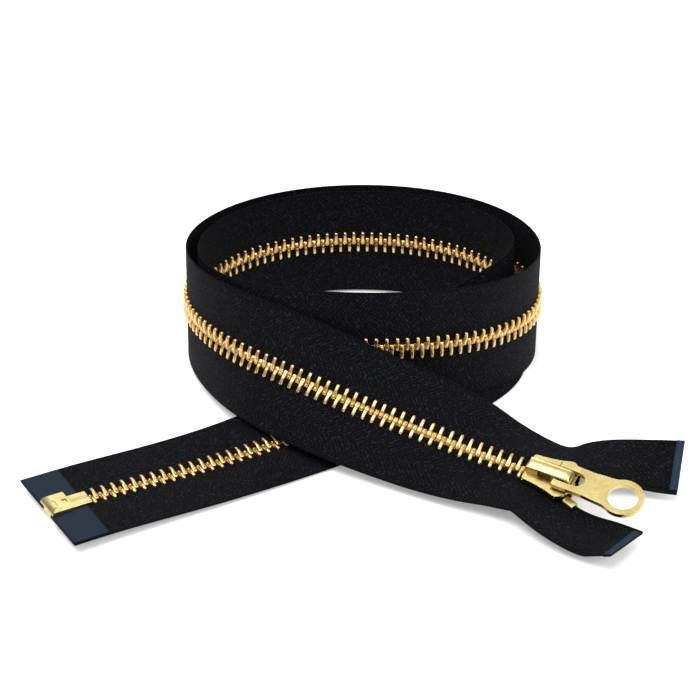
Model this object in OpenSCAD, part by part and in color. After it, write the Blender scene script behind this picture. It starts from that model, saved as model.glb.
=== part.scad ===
// Open-end metal-tooth zipper, closed and laid down in a standing coil, one end crossing under the other.
// Lengths in mm, +Z up. Left tape is on the left of a walk from the retainer box towards the slider.

/* [Overall] */
// Mean width of the coil, left to right
coil_w = 90; // [72:1:110]
// Width of the closed strip: both tapes and the chain
strip_w = 30; // [24:0.5:36]

/* [Tape] */
// Thickness of the woven tape
tape_t = 0.5; // [0.3:0.05:0.7]
// Width of the corded edge the teeth grip
bead_w = 0.9; // [0.7:0.05:1.2]
// Thickness of the stiffening film and of the sealed ends
film_t = 0.1; // [0.05:0.01:0.2]
// Length of the film at the box end
film_len = 9; // [6:0.1:16]
// Width of the sealed top ends
seal_len = 2; // [1:0.1:4]

/* [Teeth] */
// Spacing of the teeth on one tape
pitch = 2.5; // [2.1:0.05:3]
// Gap between a tooth and the next one on the other tape
tooth_gap = 0.25; // [0.15:0.01:0.4]
// Half width of the closed chain
chain_hw = 2.95; // [2.6:0.05:3.6]
// Height of the chain
chain_h = 2.3; // [2:0.05:3]
// Reach of a tooth's head past the middle of the chain
head_reach = 1; // [0.6:0.05:1.1]

/* [Box end] */
// Length of the two pins
pin_len = 9.3; // [6:0.1:14]
// Length of the retainer box
box_len = 5.4; // [4:0.1:8]
// Wall of the retainer box
box_wall = 0.6; // [0.4:0.05:1]

/* [Slider] */
// Length of the slider body
slider_len = 11.6; // [10:0.1:14]
// Thickness of the slider's two plates
plate_t = 0.9; // [0.6:0.05:1.2]
// Free height over and under the chain
slider_gap = 0.45; // [0.3:0.05:0.7]
// Free width beside the chain
side_gap = 0.3; // [0.2:0.05:0.5]
// Width of the bridge over the pull tab
crown_w = 3.4; // [2.6:0.1:4.4]
// Length of a top stop
stop_len = 3.2; // [2:0.1:5]

/* [Pull tab] */
// Distance from the pivot to the middle of the ring hole
tab_reach = 16.2; // [12:0.1:22]
// Thickness of the pull tab
tab_t = 1.2; // [0.9:0.05:1.5]
// Radius of the ring hole
ring_r = 3.45; // [2.5:0.05:4.5]
// Wall of the ring
ring_wall = 1.45; // [1:0.05:2]
// Width across the two arms
arm_span = 7.3; // [6.6:0.1:9]

/* [Hidden] */

LEFT = 1;
RIGHT = -1;
place = [-0.7, 29.233, 0.125];
half = strip_w / 2;
ref_coil_w = 90;
kc = coil_w / ref_coil_w;
edge_gap = 0.08;
tooth_l = pitch / 2 - tooth_gap;

brass = [0.86, 0.68, 0.30];
pale_brass = [0.90, 0.77, 0.45];
cloth = [0.04, 0.04, 0.05];
film_grey = [0.45, 0.52, 0.60];

// ---- the line the middle of the chain follows ----
// A row is x, y, height, roll of the chain, roll of the left tape, roll of the right tape.
function row(x, y, edge, roll) = [x * kc, y * kc, edge + half * sin(roll), roll, roll, roll];

box_end = [
  row(-69, -77, 2.5, 0),
  row(-56.5, -69, 2, 0),
  row(-37, -58.5, 1, 0),
  row(-12, -43.5, 0.25, 3),
  row(14, -27, 0.4, 18),
  row(38, -13.5, 0.8, 58)
];

coil_step = 30;
coil_turn = 540;
coil_rx = 42;
coil_ry = 32;
coil_grow = 5;
coil_sway = 3;
floor_gap = 0.4;
front_lift = 5;
function coil_row(a) =
  let (t = a / 360, lean = coil_sway * sin(a), lift = t > 0.5 ? front_lift * pow(max(0, -sin(a)), 2) : 0)
  [
    kc * (3 + t + (coil_rx + coil_grow * t) * cos(a)),
    kc * (2 - t + (coil_ry + coil_grow * t) * sin(a)),
    half * cos(lean) + floor_gap + lift, 90 + lean, 90 + lean, 90 + lean
  ];
coil = [for (a = [0:coil_step:coil_turn]) coil_row(a)];

over_end = [
  row(-35.5, -23, 2.15, 82),
  row(-17.5, -38, 3.95, 57),
  row(1.5, -47.5, 3.05, 39),
  row(17.5, -54.5, 1.8, 31)
];

// Rows near the slider keep their size whatever the coil's; each starts from the slider's own spot.
slider_spot = [40 * kc, -63 * kc];
slider_roll = 18;
function near_row(dx, dy, z, roll, left, right) =
  [slider_spot[0] + dx, slider_spot[1] + dy, z, roll, left, right];
slider_rows = [
  near_row(-11, 3.6, 7, 25, 20, 15),
  near_row(-4.2, 1.3, 5.7, 20, 1, 5),
  near_row(0.9, -1.2, 5.1, slider_roll, -8, 1),
  near_row(6.9, -4.5, 4.7, slider_roll, -9, -5)
];
left_rows = [
  near_row(14.4, -6.1, 5.3, 18, -6, 0),
  near_row(21.3, -5.2, 3.8, 16, 12, 0),
  near_row(28.3, -6.1, 1.6, 28, 28, 0),
  near_row(35.2, -8.2, 2, 33, 33, 0)
];
right_rows = [
  near_row(11.7, -11.9, 3.3, 18, 0, -7),
  near_row(16.9, -15.9, 3, 12, 0, 2),
  near_row(20.5, -18, 3.5, 8, 0, 5),
  near_row(26, -22.5, 3.5, -7, 0, -7)
];
shared = concat(box_end, coil, over_end, slider_rows);
function rows(side) = concat(shared, side == LEFT ? left_rows : right_rows);

// ---- smooth curve through the rows ----
function padded(c) =
  let (last = len(c) - 1)
  concat([2 * c[0] - c[1]], c, [2 * c[last] - c[last - 1]]);
function curve_at(c, u) =
  let (i = min(floor(u), len(c) - 4), f = u - i)
  (pow(1 - f, 3) * c[i] + (3 * pow(f, 3) - 6 * f * f + 4) * c[i + 1]
  + (3 * f * f + 3 * f + 1 - 3 * pow(f, 3)) * c[i + 2] + pow(f, 3) * c[i + 3]) / 6;
function slope_at(c, u) =
  let (i = min(floor(u), len(c) - 4), f = u - i)
  (c[i + 1] - c[i]) * pow(1 - f, 2) / 2 + (c[i + 2] - c[i + 1]) * (1 + 2 * f - 2 * f * f) / 2
  + (c[i + 3] - c[i + 2]) * f * f / 2;
function head3(p) = [p[0], p[1], p[2]];
function unit(v) = v / norm(v);

curve_left = padded(rows(LEFT));
curve_right = padded(rows(RIGHT));
function curve(side) = side == LEFT ? curve_left : curve_right;
steps_per_row = 14;
spans = len(curve_left) - 3;
function lengths(c) = [
  for (k = 0, s = 0; k <= spans * steps_per_row;
    s = s + norm(head3(curve_at(c, (k + 1) / steps_per_row)) - head3(curve_at(c, k / steps_per_row))),
    k = k + 1)
  [s, k / steps_per_row]
];
table_left = lengths(curve_left);
table_right = lengths(curve_right);
function table(side) = side == LEFT ? table_left : table_right;
function total(side) = table(side)[spans * steps_per_row][0];
function at(side, s) = lookup(s, table(side));

// A frame is: point, forward, across to the left, up off the chain's outer face, tape's across.
function turned(fwd, roll) =
  let (flat = unit([-fwd[1], fwd[0], 0]), rise = cross(fwd, flat))
  flat * cos(roll) + rise * sin(roll);
function frame(side, s) =
  let (
    c = curve(side), u = at(side, s), p = curve_at(c, u), fwd = unit(head3(slope_at(c, u))),
    across = turned(fwd, p[3]), tape = turned(fwd, side == LEFT ? p[4] : p[5])
  )
  [head3(p) + place, fwd, across, cross(fwd, across), tape, cross(fwd, tape)];

// Puts x = across, y = up, z = forward.
module on_chain(side, s) {
  f = frame(side, s);
  multmatrix([
    [f[2][0], f[3][0], f[1][0], f[0][0]],
    [f[2][1], f[3][1], f[1][1], f[0][1]],
    [f[2][2], f[3][2], f[1][2], f[0][2]],
    [0, 0, 0, 1]
  ])
    children();
}

// ---- stations along the chain ----
slider_row = len(box_end) + len(coil) + len(over_end) + 2;
s_rear = [for (e = table_left) if (e[1] <= slider_row) e[0]][slider_row * steps_per_row] + 0.6;
s_mouth = s_rear + slider_len;
pin_start = 1;
first_left = pin_start + pin_len + edge_gap + (pitch + tooth_l) / 2;
last_left = s_mouth - 1.8;
tooth_count = round((last_left - first_left) / pitch) + 1;
spacing = (last_left - first_left) / (tooth_count - 1);
stop_mid = s_mouth + 0.6 + stop_len / 2;
groups = 8;
function first_tooth(group) = floor((group - 1) * tooth_count / groups);

// ---- sections, x = away from the middle of the chain, y = up ----
tooth_hh = chain_h / 2;
corner = 0.28;
bead_in = head_reach + edge_gap;
bead_out = bead_in + bead_w;
slot_out = bead_out + edge_gap;
bead_hh = bead_w / 2;
slot_hh = bead_hh + edge_gap;
jaw_hh = tape_t / 2 + 0.1;
tape_in = slot_out - 0.02;
fold_v = chain_hw + side_gap + 0.8;

function clip_section(inner, outer, hh, c) = [
  [inner, -hh + c], [inner + c, -hh], [outer - c, -hh], [outer, -hh + c], [outer, -jaw_hh],
  [slot_out, -jaw_hh], [slot_out, -slot_hh], [bead_in - edge_gap, -slot_hh],
  [bead_in - edge_gap, slot_hh], [slot_out, slot_hh], [slot_out, jaw_hh], [outer, jaw_hh],
  [outer, hh - c], [outer - c, hh], [inner + c, hh], [inner, hh - c]
];
function flipped(side, pts) = side == LEFT ? pts : [for (p = pts) [-p[0], p[1]]];

module clip(side, s, length, section) {
  on_chain(side, s)
    linear_extrude(height = length, center = true)
      polygon(flipped(side, section));
}

module tooth(side, s) {
  clip(side, s, tooth_l, clip_section(-head_reach, chain_hw, tooth_hh, corner));
}

module teeth(side, group) {
  start = side == LEFT ? first_left : first_left - spacing / 2;
  color(brass)
    for (k = [first_tooth(group):first_tooth(group + 1) - 1])
      tooth(side, start + k * spacing);
}

// ---- cloth and film swept along the line ----
// Corner points of one cross-section; v list runs from the chain outwards.
function ring(side, s, vs, low, high) =
  let (f = frame(side, s))
  [
    for (e = [low, high])
      for (v = vs)
        let (w = min(v, fold_v), rest = max(0, v - fold_v))
        f[0] + side * (w * f[2] + rest * f[4]) + e * (v > fold_v ? f[5] : f[3])
  ];
function band_faces(rings, m) = [
  for (r = [0:rings - 2])
    for (k = [0:m - 1])
      for (half_face = [0, 1])
        let (a = r * m + k, b = r * m + (k + 1) % m, c = a + m, d = b + m)
        k < m / 2
          ? (half_face == 0 ? [a, b, c] : [b, d, c])
          : (half_face == 0 ? [a, b, d] : [a, d, c])
];
// Order of a ring: along the low side outwards, then back along the high side.
function ordered(pts, m) = concat([for (k = [0:m - 1]) pts[k]], [for (k = [m - 1:-1:0]) pts[m + k]]);
function end_faces(m, base, inward) = [
  for (k = [0:m - 2])
    for (half_face = [0, 1])
      let (a = base + k, b = base + k + 1, c = base + 2 * m - 2 - k, d = base + 2 * m - 1 - k)
      inward
        ? (half_face == 0 ? [a, c, b] : [a, d, c])
        : (half_face == 0 ? [a, b, c] : [a, c, d])
];
function reversed(faces) = [for (f = faces) [f[2], f[1], f[0]]];

module sweep(side, stations, vs, low, high) {
  m = len(vs);
  pts = [for (s = stations) each ordered(ring(side, s, vs, low, high), m)];
  faces = concat(
    band_faces(len(stations), 2 * m),
    end_faces(m, 0, true),
    end_faces(m, (len(stations) - 1) * 2 * m, false)
  );
  polyhedron(points = pts, faces = side == LEFT ? reversed(faces) : faces);
}

function stations(from, to, step) =
  let (n = max(1, ceil((to - from) / step)))
  [for (k = [0:n]) from + (to - from) * k / n];
tape_step = 2.4;
film_step = 1.8;
bead_step = 2.6;
slider_zone = 24;

function past(list) = [for (k = [1:len(list) - 1]) list[k]];
function seal_stations(side) = stations(total(side) - seal_len, total(side), 1);

module tape(side) {
  cut = s_rear - slider_zone;
  end = total(side) - seal_len;
  st = concat(
    stations(0, film_len, film_step), past(stations(film_len, cut, tape_step)),
    past(stations(cut, end, 2)), past(seal_stations(side))
  );
  color(cloth)
    sweep(side, st, [tape_in, fold_v, half], -tape_t / 2, tape_t / 2);
}

module bead(side) {
  color(cloth)
    sweep(side, stations(pin_start + 0.2, total(side) - seal_len, bead_step), [bead_in, bead_out], -bead_hh, bead_hh);
}

module skin(side, st, v_in) {
  near = tape_t / 2 + 0.02;
  color(film_grey) {
    sweep(side, st, [v_in, fold_v, half - 0.05], near, near + film_t);
    sweep(side, st, [v_in, fold_v, half - 0.05], -near - film_t, -near);
  }
}

module film(side) {
  skin(side, stations(0, film_len, film_step), pin_out + edge_gap);
}

module top_seal(side) {
  skin(side, seal_stations(side), slot_out);
}

// ---- box end ----
pin_in = 0.1;
pin_out = slot_out + 0.35;
box_play = 0.06;
box_hh = tooth_hh + box_play + box_wall;
box_left = 4;
box_right = pin_out + box_play + 0.4;
box_mid = 0.1 + box_len / 2;
box_slot = tape_t / 2 + 0.02 + film_t + 0.08;

module pin(side) {
  color(pale_brass)
    clip(side, pin_start + pin_len / 2, pin_len, clip_section(pin_in, pin_out, tooth_hh, corner));
}

module retainer_box() {
  r = box_hh;
  chamfer = 0.6;
  pocket = 0.3;
  dent = 0.15;
  color(pale_brass)
    on_chain(LEFT, box_mid)
      difference() {
        intersection() {
          linear_extrude(height = box_len, center = true)
            polygon([
              [-box_right, -r + chamfer], [-box_right + chamfer, -r], [box_left - chamfer, -r], [box_left, -r + chamfer],
              [box_left, r - chamfer], [box_left - chamfer, r], [-box_right + chamfer, r], [-box_right, r - chamfer]
            ]);
          union() {
            translate([0, 0, r - box_len / 2])
              rotate([0, 90, 0])
                cylinder(h = 4 * box_left, r = r, center = true, $fn = 64);
            translate([-2 * box_left, -r, r - box_len / 2])
              cube([4 * box_left, 2 * r, box_len - r]);
          }
        }
        translate([-pin_out - box_play, -tooth_hh - box_play, pin_start - box_play - box_mid])
          cube([2 * (pin_out + box_play), 2 * (tooth_hh + box_play), box_len]);
        translate([tape_in - box_play, -box_slot, -box_len])
          cube([box_left, 2 * box_slot, 2 * box_len]);
        translate([-tape_in + box_play - box_left, -box_slot, -box_len])
          cube([box_left, 2 * box_slot, 2 * box_len]);
        translate([-0.8, r - pocket, box_len / 2 - 1.8])
          cube([1.4, 1, 1.2]);
        translate([-1.5, r - dent, 0.3 - box_len / 2 + chamfer])
          cube([2.6, 1, 1.3]);
      }
}

// ---- top stops ----
module top_stop(side) {
  color(pale_brass)
    clip(side, stop_mid, stop_len, clip_section(bead_in - edge_gap - 0.45, slot_out + 0.55, tooth_hh, corner));
}

// ---- slider: x towards the open end, y to the left, z up, 0 at its rear and on the chain's middle ----
mid_lift = -0.08;
rear = frame(LEFT, s_rear);
mouth = (frame(LEFT, s_mouth)[0] + frame(RIGHT, s_mouth)[0]) / 2;
across_mid = unit(rear[2] + frame(LEFT, s_mouth)[2] + frame(RIGHT, s_mouth)[2]);
sx = unit(mouth - rear[0]);
sz = unit(cross(sx, across_mid));
sy = cross(sz, sx);
so = rear[0] + mid_lift * sz;

module on_slider() {
  multmatrix([
    [sx[0], sy[0], sz[0], so[0]],
    [sx[1], sy[1], sz[1], so[1]],
    [sx[2], sy[2], sz[2], so[2]],
    [0, 0, 0, 1]
  ])
    children();
}

inner_z = tooth_hh + slider_gap;
top_z = inner_z + plate_t;
flange_z = tape_t / 2 + 0.45;
rail_t = 0.55;
// Free half width inside the rails at points along the slider.
rail_x = [-0.4, 2, 4.2, 6.4, 8.6, 9.3];
chain_edge = [0, 0.15, 0.42, 0.85, 1.5, 1.72];
function rail_in(k) = chain_hw + side_gap + chain_edge[k];
rails = len(rail_x);
function rail_line(extra) = [for (k = [0:rails - 1]) [max(rail_x[k], 0), rail_in(k) + extra]];
function both(line) = concat(line, [for (k = [len(line) - 1:-1:0]) [line[k][0], -line[k][1]]]);

plate_line = [
  [0, rail_in(0) + rail_t - 0.35], [0.4, rail_in(0) + rail_t], [2.2, rail_in(1) + rail_t],
  [4.2, rail_in(2) + rail_t], [6.4, rail_in(3) + rail_t], [8.6, rail_in(4) + rail_t],
  [9.3, rail_in(5) + rail_t - 0.1], [slider_len - 1.4, rail_in(5) + rail_t - 0.55],
  [slider_len - 0.6, rail_in(5) + rail_t - 1.6], [slider_len - 0.1, rail_in(5) + rail_t - 3], [slider_len - 0.1, 0.9]
];
post_line = [[10, 0.3], [10.8, 0.5], [slider_len - 0.3, 0.8], [slider_len, 0.7]];
pawl_x = 5.2;

module rail_pair(z) {
  for (side = [1, -1])
    translate([0, 0, z])
      linear_extrude(height = inner_z - flange_z + 0.2)
        polygon(concat(
          [for (p = rail_line(0)) [p[0], side * p[1]]],
          [for (k = [rails - 1:-1:0]) [max(rail_x[k], 0), side * (rail_in(k) + rail_t - 0.05)]]
        ));
}

module slider_body() {
  color(pale_brass)
    on_slider()
      difference() {
        union() {
          for (z = [-top_z, inner_z])
            translate([0, 0, z])
              linear_extrude(height = plate_t)
                polygon(both(plate_line));
          rail_pair(flange_z);
          rail_pair(-inner_z - 0.2);
          translate([0, 0, -inner_z - 0.2])
            linear_extrude(height = 2 * inner_z + 0.4)
              polygon(both(post_line));
        }
        translate([pawl_x - 0.25, -0.85, inner_z - 0.5])
          cube([1, 1.7, plate_t + 1]);
      }
}

crown_in = top_z + 1.85;
crown_top = crown_in + 0.75;
crown_foot = 3.2;
crown_front = 11.2;

module slider_crown() {
  color(pale_brass)
    on_slider()
      rotate([90, 0, 0])
        linear_extrude(height = crown_w, center = true)
          polygon([
            [0.1, top_z], [crown_foot, top_z], [crown_foot, crown_in - 0.35], [crown_foot + 0.4, crown_in],
            [crown_front - 1.5, crown_in], [crown_front - 0.9, crown_in - 0.35],
            [crown_front - 0.7, top_z + 0.35], [crown_front, top_z + 0.35],
            [crown_front - 0.05, crown_in - 0.1], [crown_front - 0.5, crown_in + 0.55],
            [crown_front - 1.3, crown_top], [crown_front - 5, crown_top - 0.1], [1, crown_top - 0.45],
            [0.1, crown_top - 0.85]
          ]);
}

pawl_t = 0.25;
pawl_lift = 0.35;

module lock_pawl() {
  leaf_z = crown_in - pawl_lift - 0.1;
  leaf_x = crown_foot + 0.45;
  color(brass)
    on_slider()
      rotate([90, 0, 0])
        linear_extrude(height = 1.2, center = true)
          polygon([
            [leaf_x, leaf_z - pawl_t], [pawl_x, leaf_z - pawl_t], [pawl_x, tooth_hh + 0.35],
            [pawl_x + 0.5, tooth_hh + 0.5], [pawl_x + 0.5, leaf_z], [leaf_x, leaf_z]
          ]);
}

// ---- pull tab: x from the pivot along the tab, z through it ----
pivot_x = 7.65;
pivot_z = top_z + 1.1;
tab_dip = 0.5;
bar_r = tab_t / 2;
arm_in = crown_w / 2 + 0.3;
window_end = 6.6;
tab_side = [[0, arm_span / 2 - 0.2], [0.4, arm_span / 2], [7.6, arm_span / 2 - 0.15]];
ring_out = ring_r + ring_wall;

module pull_tab() {
  color(pale_brass)
    on_slider()
      translate([pivot_x, 0, pivot_z])
        rotate([0, tab_dip, 0])
          union() {
            rotate([90, 0, 0])
              cylinder(h = arm_span - 0.4, r = bar_r, center = true, $fn = 48);
            difference() {
              union() {
                translate([0, 0, -tab_t / 2])
                  linear_extrude(height = tab_t)
                    polygon(both(concat(tab_side, [
                      [tab_reach - ring_out * 0.72, ring_out * 0.80], [tab_reach - ring_out * 0.5, ring_out * 0.86],
                      [tab_reach, ring_out * 0.9]
                    ])));
                translate([tab_reach, 0, -tab_t / 2])
                  cylinder(h = tab_t, r = ring_out, $fn = 96);
              }
              translate([tab_reach, 0, -tab_t])
                cylinder(h = 2 * tab_t, r = ring_r, $fn = 96);
              translate([-bar_r, -arm_in, -tab_t])
                cube([window_end - arm_in + bar_r, 2 * arm_in, 2 * tab_t]);
              translate([window_end - arm_in, 0, -tab_t])
                cylinder(h = 2 * tab_t, r = arm_in, $fn = 64);
            }
          }
}

tape(LEFT);  // tape_left
tape(RIGHT);  // tape_right
bead(LEFT);  // bead_left
bead(RIGHT);  // bead_right
teeth(LEFT, 1);  // teeth_left_1
teeth(LEFT, 2);  // teeth_left_2
teeth(LEFT, 3);  // teeth_left_3
teeth(LEFT, 4);  // teeth_left_4
teeth(LEFT, 5);  // teeth_left_5
teeth(LEFT, 6);  // teeth_left_6
teeth(LEFT, 7);  // teeth_left_7
teeth(LEFT, 8);  // teeth_left_8
teeth(RIGHT, 1);  // teeth_right_1
teeth(RIGHT, 2);  // teeth_right_2
teeth(RIGHT, 3);  // teeth_right_3
teeth(RIGHT, 4);  // teeth_right_4
teeth(RIGHT, 5);  // teeth_right_5
teeth(RIGHT, 6);  // teeth_right_6
teeth(RIGHT, 7);  // teeth_right_7
teeth(RIGHT, 8);  // teeth_right_8
pin(LEFT);  // insertion_pin
pin(RIGHT);  // retainer_pin
retainer_box();
film(LEFT);  // film_left
film(RIGHT);  // film_right
top_seal(LEFT);  // top_seal_left
top_seal(RIGHT);  // top_seal_right
top_stop(LEFT);  // top_stop_left
top_stop(RIGHT);  // top_stop_right
slider_body();
slider_crown();
lock_pawl();
pull_tab();
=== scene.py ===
import math

import bmesh
import bpy
import numpy as np
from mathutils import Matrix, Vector


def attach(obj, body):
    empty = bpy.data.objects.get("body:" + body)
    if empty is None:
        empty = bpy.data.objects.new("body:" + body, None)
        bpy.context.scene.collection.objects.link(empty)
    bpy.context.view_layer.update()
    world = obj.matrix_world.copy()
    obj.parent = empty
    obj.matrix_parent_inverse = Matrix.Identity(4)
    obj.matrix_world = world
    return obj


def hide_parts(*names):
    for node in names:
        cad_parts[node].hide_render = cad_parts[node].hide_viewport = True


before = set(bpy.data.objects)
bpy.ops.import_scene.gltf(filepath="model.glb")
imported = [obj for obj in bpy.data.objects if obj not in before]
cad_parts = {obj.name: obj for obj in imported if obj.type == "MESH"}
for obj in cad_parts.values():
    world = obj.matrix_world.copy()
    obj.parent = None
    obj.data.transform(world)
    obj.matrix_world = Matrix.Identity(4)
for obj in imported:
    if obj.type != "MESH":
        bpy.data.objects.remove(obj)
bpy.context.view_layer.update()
MM = 0.001

# ---------------------------------------------------------------- the zipper's line, as in the CAD
PLACE = np.array([-0.7, 29.233, 0.125])
HALF = 15.0
TAPE_HALF_T = 0.25
LEFT, RIGHT = 1, -1


def row(x, y, edge, roll):
    return [x, y, edge + HALF * math.sin(math.radians(roll)), roll, roll, roll]


def coil_row(a):
    t, r = a / 360, math.radians(a)
    lean = 3 * math.sin(r)
    lift = 5 * max(0.0, -math.sin(r)) ** 2 if t > 0.5 else 0.0
    return [3 + t + (42 + 5 * t) * math.cos(r), 2 - t + (32 + 5 * t) * math.sin(r),
            HALF * math.cos(math.radians(lean)) + 0.4 + lift, 90 + lean, 90 + lean, 90 + lean]


def near_row(dx, dy, z, roll, left, right):
    return [40 + dx, -63 + dy, z, roll, left, right]


SHARED = [row(-69, -77, 2.5, 0), row(-56.5, -69, 2, 0), row(-37, -58.5, 1, 0), row(-12, -43.5, 0.25, 3),
          row(14, -27, 0.4, 18), row(38, -13.5, 0.8, 58)]
SHARED += [coil_row(a) for a in range(0, 541, 30)]
SHARED += [row(-35.5, -23, 2.15, 82), row(-17.5, -38, 3.95, 57), row(1.5, -47.5, 3.05, 39),
           row(17.5, -54.5, 1.8, 31)]
SHARED += [near_row(-11, 3.6, 7, 25, 20, 15), near_row(-4.2, 1.3, 5.7, 20, 1, 5),
           near_row(0.9, -1.2, 5.1, 18, -8, 1), near_row(6.9, -4.5, 4.7, 18, -9, -5)]
ENDS = {
    LEFT: [near_row(14.4, -6.1, 5.3, 18, -6, 0), near_row(21.3, -5.2, 3.8, 16, 12, 0),
           near_row(28.3, -6.1, 1.6, 28, 28, 0), near_row(35.2, -8.2, 2, 33, 33, 0)],
    RIGHT: [near_row(11.7, -11.9, 3.3, 18, 0, -7), near_row(16.9, -15.9, 3, 12, 0, 2),
            near_row(20.5, -18, 3.5, 8, 0, 5), near_row(26, -22.5, 3.5, -7, 0, -7)],
}
STEPS = 14      # steps of the curve for each row


class Line:
    """One tape's line: a smooth curve with a frame at each distance along it."""

    def __init__(self, side):
        c = np.array(SHARED + ENDS[side], float)
        self.side = side
        self.c = np.vstack([2 * c[0] - c[1], c, 2 * c[-1] - c[-2]])
        self.spans = len(self.c) - 3
        self.u = np.arange(self.spans * STEPS + 1) / STEPS
        p = self.point(self.u)[:, :3]
        self.s = np.concatenate([[0], np.cumsum(np.linalg.norm(np.diff(p, axis=0), axis=1))])
        self.total = self.s[-1]

    def parts(self, u):
        i = np.minimum(np.floor(u), self.spans - 1).astype(int)
        return i, (u - i)[:, None]

    def point(self, u):
        i, f = self.parts(u)
        c = self.c
        return ((1 - f) ** 3 * c[i] + (3 * f ** 3 - 6 * f * f + 4) * c[i + 1]
                + (3 * f * f + 3 * f + 1 - 3 * f ** 3) * c[i + 2] + f ** 3 * c[i + 3]) / 6

    def slope(self, u):
        i, f = self.parts(u)
        c = self.c
        return ((c[i + 1] - c[i]) * (1 - f) ** 2 / 2 + (c[i + 2] - c[i + 1]) * (1 + 2 * f - 2 * f * f) / 2
                + (c[i + 3] - c[i + 2]) * f * f / 2)

    def frames(self, s):
        """Point, forward, across and up of the chain, then across and up of the tape."""
        u = np.interp(np.atleast_1d(np.asarray(s, float)), self.s, self.u)
        q = self.point(u)
        fwd = self.slope(u)[:, :3]
        fwd /= np.linalg.norm(fwd, axis=1)[:, None]
        flat = np.stack([-fwd[:, 1], fwd[:, 0], 0 * fwd[:, 0]], 1)
        flat /= np.linalg.norm(flat, axis=1)[:, None]
        rise = np.cross(fwd, flat)

        def turned(roll):
            r = np.radians(roll)[:, None]
            return flat * np.cos(r) + rise * np.sin(r)
        across = turned(q[:, 3])
        tape = turned(q[:, 4] if self.side == LEFT else q[:, 5])
        return q[:, :3] + PLACE, fwd, across, np.cross(fwd, across), tape, np.cross(fwd, tape)


LINES = {LEFT: Line(LEFT), RIGHT: Line(RIGHT)}
SLIDER_LEN = 11.6
SLIDER_ROW = len(SHARED) - 2
S_REAR = LINES[LEFT].s[SLIDER_ROW * STEPS] + 0.6
S_MOUTH = S_REAR + SLIDER_LEN
EDGE_GAP = 0.08
PIN_START, PIN_LEN = 1.0, 9.3
PITCH, TOOTH_LEN = 2.5, 1.0
TOOTH_GROUPS = 8
FIRST_LEFT = PIN_START + PIN_LEN + EDGE_GAP + (PITCH + TOOTH_LEN) / 2
LAST_LEFT = S_MOUTH - 1.8
TOOTH_COUNT = round((LAST_LEFT - FIRST_LEFT) / PITCH) + 1
SPACING = (LAST_LEFT - FIRST_LEFT) / (TOOTH_COUNT - 1)
FOLD = 4.05     # where the tape turns away from the chain's own slope
BEAD_IN, BEAD_OUT = 1.08, 1.98


# ---------------------------------------------------------------- mesh helpers
UV_MM = 100     # millimetres in one unit of UV


def make_object(name, verts, faces, uvs=None, smooth=True):
    """A mesh object from points in mm; uvs has a row for each point."""
    mesh = bpy.data.meshes.new(name)
    points = [tuple(v) for v in np.asarray(verts) * MM]
    mesh.from_pydata(points, [], [tuple(int(i) for i in f) for f in faces])
    if uvs is not None:
        layer = mesh.uv_layers.new(name="UVMap")
        idx = np.zeros(len(mesh.loops), int)
        mesh.loops.foreach_get("vertex_index", idx)
        layer.data.foreach_set("uv", np.asarray(uvs, np.float32)[idx].ravel())
    mesh.polygons.foreach_set("use_smooth", [smooth] * len(mesh.polygons))
    mesh.validate()
    mesh.update()
    obj = bpy.data.objects.new(name, mesh)
    bpy.context.scene.collection.objects.link(obj)
    return obj


def outward(obj):
    """Turns the faces of a closed mesh to look outwards."""
    bm = bmesh.new()
    bm.from_mesh(obj.data)
    bmesh.ops.recalc_face_normals(bm, faces=bm.faces)
    bm.to_mesh(obj.data)
    bm.free()
    return obj


def give(obj, material):
    obj.data.materials.clear()
    obj.data.materials.append(material)


def finish_piece(obj, material, body, nodes):
    """Gives a piece its material, and says its body and the nodes that it replaces."""
    give(obj, material)
    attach(obj, body)
    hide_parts(*nodes)
    return obj


def tube_faces(rings, count, base=0):
    """Faces of a closed tube: quads between its rings of points, and a cap at each end."""
    faces = []
    for r in range(rings - 1):
        for k in range(count):
            a, b = base + r * count + k, base + r * count + (k + 1) % count
            faces.append((a, b, b + count, a + count))
    faces.append(tuple(range(base, base + count)))
    faces.append(tuple(range(base + (rings - 1) * count, base + rings * count))[::-1])
    return faces


def sweep(name, side, stations, section, fold=True):
    """Sweeps a closed section of (v, up) points along the line; UV is the distance along and across."""
    line = LINES[side]
    p, fwd, across, up, tape, tape_up = line.frames(stations)
    n, m = len(stations), len(section)
    verts = np.zeros((n, m, 3))
    for k, (v, t) in enumerate(section):
        if fold and v > FOLD:
            verts[:, k] = p + side * (FOLD * across + (v - FOLD) * tape) + t * tape_up
        else:
            verts[:, k] = p + side * v * across + t * up
    uvs = np.zeros((n, m, 2))
    uvs[:, :, 0] = np.asarray(stations)[:, None] / UV_MM
    uvs[:, :, 1] = np.array([v for v, t in section])[None] / UV_MM
    return outward(make_object(name, verts.reshape(-1, 3), tube_faces(n, m), uvs.reshape(-1, 2)))


# ---------------------------------------------------------------- materials
def set_stops(ramp, stops):
    elements = ramp.color_ramp.elements
    while len(elements) < len(stops):
        elements.new(0.5)
    for element, (position, colour) in zip(elements, stops):
        element.position = position
        element.color = (*colour, 1)


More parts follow.
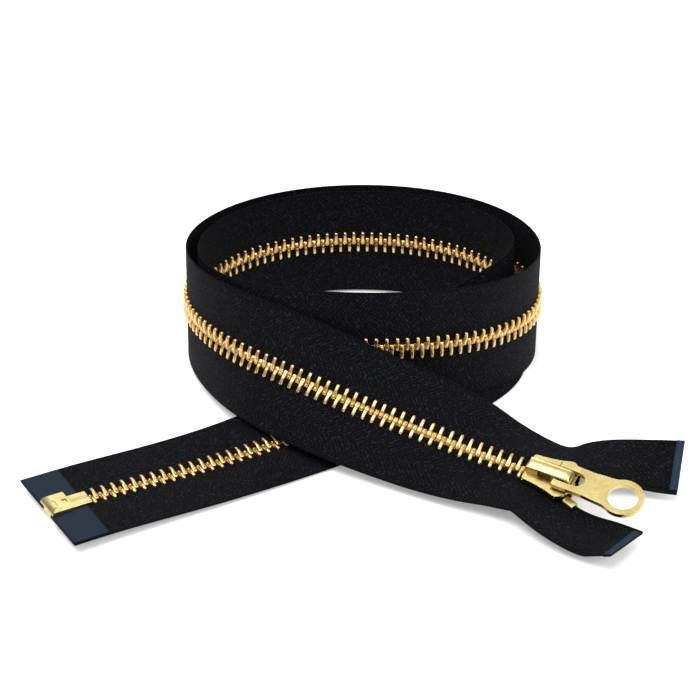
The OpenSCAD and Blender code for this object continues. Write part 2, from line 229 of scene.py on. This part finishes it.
class Nodes:
    """A material with one Principled shader, and short ways to add nodes to it."""

    def __init__(self, name):
        self.mat = bpy.data.materials.new(name)
        self.mat.use_nodes = True
        self.tree = self.mat.node_tree
        self.tree.nodes.clear()
        output = self.tree.nodes.new("ShaderNodeOutputMaterial")
        self.bsdf = self.tree.nodes.new("ShaderNodeBsdfPrincipled")
        self.link(self.bsdf.outputs[0], output.inputs[0])

    def link(self, a, b):
        self.tree.links.new(a, b)

    def set(self, **values):
        for key, value in values.items():
            self.bsdf.inputs[key.replace("_", " ")].default_value = value

    def new(self, kind, **props):
        node = self.tree.nodes.new(kind)
        for key, value in props.items():
            setattr(node, key, value)
        return node

    def math(self, op, a, b=None, c=None, clamp=False):
        node = self.new("ShaderNodeMath", operation=op, use_clamp=clamp)
        for i, value in enumerate((a, b, c)):
            if value is None:
                continue
            if isinstance(value, (int, float)):
                node.inputs[i].default_value = value
            else:
                self.link(value, node.inputs[i])
        return node.outputs[0]

    def noise(self, vector, scale, detail=2.0, rough=0.5):
        node = self.new("ShaderNodeTexNoise")
        node.inputs["Scale"].default_value = scale
        node.inputs["Detail"].default_value = detail
        node.inputs["Roughness"].default_value = rough
        self.link(vector, node.inputs["Vector"])
        return node.outputs["Fac"]

    def ramp(self, fac, stops):
        node = self.new("ShaderNodeValToRGB")
        set_stops(node, stops)
        self.link(fac, node.inputs[0])
        return node.outputs[0]

    def mix(self, fac, a, b):
        node = self.new("ShaderNodeMix", data_type="RGBA")
        for sock, value in ((node.inputs[0], fac), (node.inputs[6], a), (node.inputs[7], b)):
            if isinstance(value, (int, float)):
                sock.default_value = value
            elif isinstance(value, tuple):
                sock.default_value = (*value, 1)
            else:
                self.link(value, sock)
        return node.outputs[2]

    def bump(self, height, distance, strength=1.0, normal=None):
        node = self.new("ShaderNodeBump")
        node.inputs["Distance"].default_value = distance
        node.inputs["Strength"].default_value = strength
        self.link(height, node.inputs["Height"])
        if normal is not None:
            self.link(normal, node.inputs["Normal"])
        return node.outputs[0]


def uv_mm(n):
    """Distance along and across the tape, in mm."""
    uv = n.new("ShaderNodeUVMap", uv_map="UVMap")
    sep = n.new("ShaderNodeSeparateXYZ")
    n.link(uv.outputs[0], sep.inputs[0])
    return n.math("MULTIPLY", sep.outputs[0], UV_MM), n.math("MULTIPLY", sep.outputs[1], UV_MM)


def object_vector(n, scale=(1, 1, 1)):
    """The point on the object in metres, for noise."""
    tc = n.new("ShaderNodeTexCoord")
    mp = n.new("ShaderNodeMapping")
    mp.inputs["Scale"].default_value = scale
    n.link(tc.outputs["Object"], mp.inputs[0])
    return mp.outputs[0]


def weave_height(n, along, across, vec, column=4.4, period=1.12, tilt=0.95):
    """Herringbone twill: slanted ribs that turn back at each column, uneven and cut into short floats."""
    drift = n.math("MULTIPLY", n.math("SUBTRACT", n.noise(vec, 520, 3), 0.5), 2.0)
    col = n.math("FLOOR", n.math("DIVIDE", n.math("ADD", across, 0.2), column))
    even = n.math("SUBTRACT", n.math("MULTIPLY", n.math("MODULO", col, 2.0), 2.0), 1.0)
    slant = n.math("MULTIPLY", n.math("MULTIPLY", across, even), tilt)
    phase = n.math("DIVIDE", n.math("ADD", n.math("ADD", along, slant), drift), period)
    rib = n.math("SINE", n.math("MULTIPLY", phase, 2 * math.pi))
    thread = n.math("SINE", n.math("MULTIPLY", n.math("ADD", across, drift), 2 * math.pi / 0.44))
    back = n.math("MULTIPLY", n.math("ADD", along, n.math("MULTIPLY", slant, -0.6)), 2 * math.pi / 0.52)
    fine = n.math("MULTIPLY", n.math("MULTIPLY", thread, n.math("SINE", back)), 0.6)
    return n.math("ADD", n.math("MULTIPLY", rib, 0.5), fine)


def cloth_material():
    n = Nodes("woven_tape")
    along, across = uv_mm(n)
    vec = object_vector(n)
    height = weave_height(n, along, across, vec)
    broad = n.noise(vec, 90, 3)
    fuzz = n.noise(vec, 3600, 2, 0.7)
    speck = n.noise(vec, 1500, 2, 0.6)
    # Painted highlight and shade: the weave's rib tops are painted lighter and its hollows darker in the base
    # colour.
    lit = n.math("MULTIPLY_ADD", height, 0.45, 0.42, clamp=True)
    base = n.ramp(lit, [(0.0, (0.0004, 0.0004, 0.0007)), (0.5, (0.0030, 0.0031, 0.0044)),
                        (1.0, (0.0140, 0.0145, 0.0190))])
    base = n.mix(n.math("MULTIPLY", broad, 0.2), base, (0.0040, 0.0042, 0.0062))
    # Painted glints: pale specks on loose fibres, shown only where the rib tops are painted lit.
    fibre_glint_mask = n.ramp(speck, [(0.0, (0, 0, 0)), (0.53, (0, 0, 0)), (0.66, (1, 1, 1))])
    base = n.mix(n.math("MULTIPLY", fibre_glint_mask, n.math("MULTIPLY", lit, 0.6)), base, (0.050, 0.054, 0.072))
    selvedge = n.math("GREATER_THAN", across, 14.35)
    base = n.mix(n.math("MULTIPLY", selvedge, 0.6), base, (0.0025, 0.0025, 0.0034))
    n.link(base, n.bsdf.inputs["Base Color"])
    n.link(n.math("MULTIPLY_ADD", fuzz, 0.25, 0.6), n.bsdf.inputs["Roughness"])
    first = n.bump(height, 0.00020, 1.0)
    n.link(n.bump(fuzz, 0.00005, 0.8, first), n.bsdf.inputs["Normal"])
    n.set(Specular_IOR_Level=0.06, Sheen_Weight=0.012, Sheen_Roughness=0.4, Sheen_Tint=(0.6, 0.64, 0.75, 1))
    return n.mat


def cord_material():
    n = Nodes("edge_cord")
    along, across = uv_mm(n)
    slant = n.math("ADD", along, n.math("MULTIPLY", across, 1.4))
    strand = n.math("SINE", n.math("MULTIPLY", slant, 2 * math.pi / 0.6))
    # Painted highlight and shade: the strand ridges are painted lighter and the grooves between them darker.
    lit = n.math("MULTIPLY_ADD", strand, 0.5, 0.5)
    tone = n.ramp(lit, [(0.0, (0.001, 0.001, 0.0015)), (1.0, (0.010, 0.010, 0.013))])
    n.link(tone, n.bsdf.inputs["Base Color"])
    fuzz = n.noise(object_vector(n), 4000, 2)
    n.link(n.math("MULTIPLY_ADD", fuzz, 0.25, 0.6), n.bsdf.inputs["Roughness"])
    n.link(n.bump(strand, 0.0001, 0.9), n.bsdf.inputs["Normal"])
    n.set(Specular_IOR_Level=0.06)
    return n.mat


def film_material(name, dark, pale, rib=0.46, cloud=0.8):
    """A thin film pressed into the cloth, so the fine cross threads show through."""
    n = Nodes(name)
    along, across = uv_mm(n)
    vec = object_vector(n)
    thread = n.math("SINE", n.math("MULTIPLY", along, 2 * math.pi / rib))
    warp = n.math("SINE", n.math("MULTIPLY", across, 2 * math.pi / 0.6))
    height = n.math("ADD", n.math("MULTIPLY", thread, 0.7), n.math("MULTIPLY", warp, 0.25))
    cloudy = n.noise(vec, 350, 3)
    # Colour: random cloudy tone, plus painted highlight on the thread ridges that show through the film.
    lit = n.math("ADD", n.math("MULTIPLY", height, 0.2), n.math("MULTIPLY", cloudy, cloud), clamp=True)
    n.link(n.ramp(lit, [(0.1, dark), (0.9, pale)]), n.bsdf.inputs["Base Color"])
    n.link(n.math("MULTIPLY_ADD", cloudy, 0.3, 0.38), n.bsdf.inputs["Roughness"])
    n.link(n.bump(height, 0.00003, 0.5), n.bsdf.inputs["Normal"])
    n.set(Specular_IOR_Level=0.08)
    return n.mat


def brass_material(name, deep, base, pale, rough, grain=900):
    """Brass with slow drifts of tone, fine grain and short brush marks."""
    n = Nodes(name)
    vec = object_vector(n)
    broad = n.noise(vec, grain * 0.35, 3)
    fine = n.noise(vec, grain * 3.2, 3, 0.6)
    brushed = n.noise(object_vector(n, (1, 0.18, 1)), grain * 5, 2)
    n.link(n.ramp(broad, [(0.25, deep), (0.55, base), (0.85, pale)]), n.bsdf.inputs["Base Color"])
    n.link(n.math("MULTIPLY_ADD", fine, rough[1] - rough[0], rough[0]), n.bsdf.inputs["Roughness"])
    first = n.bump(broad, 0.00002, 0.35)
    n.link(n.bump(n.math("ADD", fine, brushed), 0.00001, 0.6, first), n.bsdf.inputs["Normal"])
    n.set(Metallic=1.0)
    return n.mat


CLOTH = cloth_material()
CORD = cord_material()
FILM = film_material("film", (0.0050, 0.0105, 0.0190), (0.0150, 0.0270, 0.0460))
SEAL = film_material("sealed_end", (0.0030, 0.0080, 0.0160), (0.0220, 0.0400, 0.0700), rib=0.9, cloud=1.0)
TEETH = brass_material("teeth_brass", (0.58, 0.36, 0.12), (0.76, 0.53, 0.22), (0.86, 0.68, 0.36),
                       rough=(0.2, 0.36), grain=1500)
FITTING = brass_material("fitting_brass", (0.44, 0.37, 0.14), (0.53, 0.46, 0.20), (0.62, 0.56, 0.30),
                         rough=(0.22, 0.38))
SLIDER = brass_material("slider_brass", (0.52, 0.40, 0.14), (0.62, 0.51, 0.22), (0.71, 0.62, 0.34),
                        rough=(0.18, 0.32))
SPRING = brass_material("spring_brass", (0.50, 0.32, 0.10), (0.68, 0.46, 0.16), (0.80, 0.60, 0.28),
                        rough=(0.2, 0.35))


# ---------------------------------------------------------------- tapes, corded edges, films and seals
def side_name(side):
    return "left" if side == LEFT else "right"


FILM_LEN, SEAL_LEN = 9.0, 1.9
SKIN_IN, SKIN_OUT = 0.262, 0.36
END_GAP = 0.02
SKIN_STEPS = (FOLD, 6, 8, 10, 12, 13.5)


def tape_section():
    """Half of the woven tape, from the slot of the teeth to its rounded outer edge."""
    h = TAPE_HALF_T
    over = [(2.04, 0.24)] + [(v, h) for v in (2.5, 3.3, FOLD, 5.2, 7, 9, 11, 13, 14.1)]
    over += [(14.45, 0.21), (14.62, 0.25), (14.86, 0.2), (15.0, 0.0)]
    under = [(v, -t) for v, t in reversed(over) if t > 0]
    return over + under


def cord_section():
    """The round corded edge that the teeth grip."""
    mid, r = (BEAD_IN + BEAD_OUT) / 2, 0.5
    angles = np.linspace(0, 2 * math.pi, 10, endpoint=False)
    return [(mid + r * 1.02 * math.cos(a), r * math.sin(a)) for a in angles]


def skin_section(v_in, v_out, up):
    """A thin skin on one face of the tape, with its outer corners eased."""
    near, far = SKIN_IN * up, SKIN_OUT * up
    section = [(v_in, near), (v_in, far * 0.96), (v_in + 0.1, far)]
    section += [(v, far) for v in SKIN_STEPS]
    section += [(v_out - 0.1, far), (v_out, far * 0.96), (v_out, near)]
    return section + [(v, near) for v in SKIN_STEPS[::-1]]


for side in (LEFT, RIGHT):
    total = LINES[side].total
    word = side_name(side)
    tape = sweep(f"woven_tape_{word}", side, np.linspace(0, total, int(total / 0.9)), tape_section())
    finish_piece(tape, CLOTH, "chain", [f"tape_{word}"])
    cord_run = np.linspace(PIN_START + 0.2, total - 0.05, int(total))
    cord = sweep(f"edge_cord_{word}", side, cord_run, cord_section(), fold=False)
    finish_piece(cord, CORD, "chain", [f"bead_{word}"])
    film_run = np.linspace(END_GAP, FILM_LEN, 16)
    seal_run = np.linspace(total - SEAL_LEN, total - END_GAP, 6)
    skins = []
    for up, face in ((1, "top"), (-1, "under")):
        film = sweep(f"film_{word}_{face}", side, film_run, skin_section(2.5, 14.4, up))
        seal = sweep(f"seal_{word}_{face}", side, seal_run, skin_section(2.04, 14.9, up))
        skins += [finish_piece(film, FILM, "chain", [f"film_{word}"]),
                  finish_piece(seal, SEAL, "chain", [f"top_seal_{word}"])]


# ---------------------------------------------------------------- teeth
def tooth_mesh():
    """One tooth: clamp legs round the corded edge and a narrower head with a nib. x across, y up, z along."""
    stations = [(-0.98, 0.30, 0.30), (-0.93, 0.46, 0.42), (-0.75, 0.57, 0.54), (-0.45, 0.60, 0.68),
                (-0.12, 0.60, 0.78), (0.18, 0.59, 0.83), (0.42, 0.56, 0.90), (0.66, 0.51, 1.02),
                (0.90, 0.495, 1.12), (1.30, 0.49, 1.17), (1.90, 0.49, 1.18), (2.40, 0.49, 1.16),
                (2.64, 0.47, 1.09), (2.81, 0.41, 0.96), (2.91, 0.31, 0.80), (2.95, 0.18, 0.62)]
    count = 16
    squareness = 0.5
    verts = []
    for v, a, b in stations:
        for angle in (np.arange(count) + 0.5) * 2 * math.pi / count:
            c, s = math.cos(angle), math.sin(angle)
            verts.append((v, b * math.copysign(abs(s) ** squareness, s),
                          a * math.copysign(abs(c) ** squareness, c)))
    faces = tube_faces(len(stations), count)
    # nib on the head's top and bottom
    nib_x, nib_count = -0.30, 8
    nib_rings = [(0.28, 0.60), (0.26, 0.84), (0.14, 0.91)]
    for up in (1, -1):
        faces += tube_faces(len(nib_rings), nib_count, base=len(verts))
        for r, t in nib_rings:
            for angle in np.linspace(0, 2 * math.pi, nib_count, endpoint=False):
                verts.append((nib_x + r * 1.1 * math.cos(angle), up * t, r * math.sin(angle)))
    return np.array(verts), faces


tooth_verts, tooth_faces = tooth_mesh()
rng = np.random.default_rng(7)
for side in (LEFT, RIGHT):
    line = LINES[side]
    word = side_name(side)
    start = FIRST_LEFT if side == LEFT else FIRST_LEFT - SPACING / 2
    for group in range(TOOTH_GROUPS):
        ks = range(group * TOOTH_COUNT // TOOTH_GROUPS, (group + 1) * TOOTH_COUNT // TOOTH_GROUPS)
        s = np.array([start + k * SPACING for k in ks])
        p, fwd, across, up, _, _ = line.frames(s)
        verts, faces = [], []
        for i in range(len(s)):
            v = tooth_verts.copy()
            v[:, 0] *= side
            lean = rng.normal(0, 0.012)
            pts = p[i] + v[:, :1] * across[i] + v[:, 1:2] * up[i] + (v[:, 2:3] + lean * v[:, :1]) * fwd[i]
            base = len(verts) * len(tooth_verts)
            verts.append(pts)
            faces += [tuple(base + j for j in f) for f in tooth_faces]
        obj = outward(make_object(f"clamped_teeth_{word}_{group + 1}", np.vstack(verts), faces))
        finish_piece(obj, TEETH, "chain", [f"teeth_{word}_{group + 1}"])


# ---------------------------------------------------------------- fittings: CAD shapes with rounded edges
def rounded(node, name, width, material, body, segments=3, shape=None):
    """A copy of a CAD node with its edges rounded by width mm; shape changes the mesh first."""
    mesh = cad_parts[node].data.copy()
    mesh.name = name
    obj = bpy.data.objects.new(name, mesh)
    bpy.context.scene.collection.objects.link(obj)
    bm = bmesh.new()
    bm.from_mesh(mesh)
    bmesh.ops.remove_doubles(bm, verts=bm.verts, dist=2e-6)
    bmesh.ops.dissolve_limit(bm, angle_limit=math.radians(1.0), verts=bm.verts, edges=bm.edges)
    bmesh.ops.recalc_face_normals(bm, faces=bm.faces)
    if shape:
        shape(bm)
    bm.to_mesh(mesh)
    bm.free()
    for poly in mesh.polygons:
        poly.use_smooth = True
    bevel = obj.modifiers.new("bevel", "BEVEL")
    bevel.width = width * MM
    bevel.segments = segments
    bevel.limit_method = "ANGLE"
    bevel.angle_limit = math.radians(28)
    bevel.use_clamp_overlap = True
    bevel.harden_normals = False
    normal = obj.modifiers.new("normals", "WEIGHTED_NORMAL")
    normal.keep_sharp = True
    bpy.context.view_layer.update()
    deps = bpy.context.evaluated_depsgraph_get()
    baked = bpy.data.meshes.new_from_object(obj.evaluated_get(deps))
    obj.modifiers.clear()
    obj.data = baked
    return finish_piece(obj, material, body, [node])


# The slider's own frame: x towards the open end, y to the left, z up, as in the CAD.
left_point, _, left_across, *_ = LINES[LEFT].frames([S_REAR, S_MOUTH])
right_point, _, right_across, *_ = LINES[RIGHT].frames([S_MOUTH])
rear_point = left_point[0]
mouth_point = (left_point[1] + right_point[0]) / 2
slider_x = (mouth_point - rear_point) / np.linalg.norm(mouth_point - rear_point)
spread = left_across[0] + left_across[1] + right_across[0]
slider_z = np.cross(slider_x, spread / np.linalg.norm(spread))
slider_z /= np.linalg.norm(slider_z)
slider_y = np.cross(slider_z, slider_x)
slider_o = rear_point - 0.08 * slider_z
CROWN_IN, CROWN_HALF = 4.35, 1.7
ARCH_DROP, ARCH_POWER = 0.52, 2.6


def slider_place(v):
    """A point of the slider's own frame, in metres in the shared frame."""
    return Vector((slider_o + v[0] * slider_x + v[1] * slider_y + v[2] * slider_z) * MM)


def arch(bm):
    """Rounds the bridge across, so its top is a low arch."""
    for y in (-1.5, -1.25, -0.95, -0.6, -0.2, 0.2, 0.6, 0.95, 1.25, 1.5):
        geom = bm.verts[:] + bm.edges[:] + bm.faces[:]
        bmesh.ops.bisect_plane(bm, geom=geom, plane_co=slider_place((0, y, 0)),
                               plane_no=Vector(slider_y), dist=1e-7)
    up = Vector(slider_z)
    for v in bm.verts:
        local = (np.array(v.co) / MM - slider_o)
        y, z = float(local @ slider_y), float(local @ slider_z)
        if z > CROWN_IN + 0.15:
            share = min(1.0, (z - CROWN_IN - 0.1) / 0.4)
            v.co -= up * (ARCH_DROP * (abs(y) / CROWN_HALF) ** ARCH_POWER * MM * share)


rounded("slider_body", "slider_body_cast", 0.2, SLIDER, "slider")
rounded("slider_crown", "slider_crown_cast", 0.16, SLIDER, "slider", shape=arch)
rounded("lock_pawl", "lock_leaf", 0.06, SPRING, "lock")
rounded("pull_tab", "pull_tab_cast", 0.22, SLIDER, "tab", segments=4)
for node in ("insertion_pin", "retainer_pin"):
    rounded(node, node + "_cast", 0.2, FITTING, "chain")
rounded("retainer_box", "retainer_box_cast", 0.14, FITTING, "chain")
for node in ("top_stop_left", "top_stop_right"):
    rounded(node, node + "_cast", 0.12, FITTING, "chain")


# ---------------------------------------------------------------- floor, light, camera
def floor_material():
    n = Nodes("pale_floor")
    vec = object_vector(n)
    tone = n.noise(vec, 3, 2)
    n.link(n.ramp(tone, [(0.0, (0.86, 0.86, 0.86)), (1.0, (0.90, 0.90, 0.90))]), n.bsdf.inputs["Base Color"])
    n.link(n.math("MULTIPLY_ADD", tone, 0.1, 0.8), n.bsdf.inputs["Roughness"])
    n.set(Specular_IOR_Level=0.1, Emission_Color=(1, 1, 1, 1), Emission_Strength=0.28)
    return n.mat


FLOOR = 3000
corners = [(-FLOOR, -FLOOR, 0), (FLOOR, -FLOOR, 0), (FLOOR, FLOOR, 0), (-FLOOR, FLOOR, 0)]
floor = make_object("floor", corners, [(0, 1, 2, 3)], smooth=False)
give(floor, floor_material())


def area(name, location, target, size, power, colour=(1, 1, 1)):
    """A rectangular light at a place, aimed at a target."""
    light = bpy.data.lights.new(name, "AREA")
    light.shape = "RECTANGLE"
    light.size, light.size_y = size
    light.energy = power
    light.color = colour
    obj = bpy.data.objects.new(name, light)
    bpy.context.scene.collection.objects.link(obj)
    obj.location = location
    obj.rotation_euler = (Vector(target) - Vector(location)).to_track_quat("-Z", "Y").to_euler()


area("key", (-0.25, -0.15, 0.9), (0, 0, 0), (0.9, 0.7), 8.0, (1, 0.995, 0.98))
area("fill", (0.6, -0.4, 0.5), (0, 0, 0), (0.6, 0.4), 2.5, (0.98, 0.99, 1))
area("back", (0.05, 0.75, 0.6), (0, 0, 0.01), (0.9, 0.3), 1.6)



def studio_world(strength, tones):
    """A world that brightens with height, from (height, grey) tones."""
    world = bpy.data.worlds.new("studio")
    world.use_nodes = True
    bpy.context.scene.world = world
    nodes, links = world.node_tree.nodes, world.node_tree.links
    nodes.clear()
    output = nodes.new("ShaderNodeOutputWorld")
    background = nodes.new("ShaderNodeBackground")
    ramp = nodes.new("ShaderNodeValToRGB")
    direction = nodes.new("ShaderNodeTexCoord")
    split = nodes.new("ShaderNodeSeparateXYZ")
    links.new(direction.outputs["Generated"], split.inputs[0])
    links.new(split.outputs[2], ramp.inputs[0])
    set_stops(ramp, [(height, (grey, grey, grey)) for height, grey in tones])
    links.new(ramp.outputs[0], background.inputs[0])
    background.inputs[1].default_value = strength
    links.new(background.outputs[0], output.inputs[0])


def photo_camera(lens, distance, elevation):
    """The photo's camera: in front of the object, at a distance in metres and an elevation in degrees."""
    data = bpy.data.cameras.new("camera")
    data.lens = lens
    data.sensor_width = 36
    data.clip_start = 0.01
    data.clip_end = 20
    camera = bpy.data.objects.new("camera", data)
    bpy.context.scene.collection.objects.link(camera)
    tilt = math.radians(elevation)
    camera.location = Vector((PLACE[0] * MM, PLACE[1] * MM - distance * math.cos(tilt),
                              PLACE[2] * MM + distance * math.sin(tilt)))
    camera.rotation_euler = (math.pi / 2 - tilt, 0, 0)
    bpy.context.scene.camera = camera


studio_world(0.9, [(0.0, 0.08), (0.2, 0.24), (0.42, 0.66), (0.8, 0.92)])
photo_camera(92.06, 0.475, 30.5)
bpy.context.scene.view_settings.view_transform = "Standard"
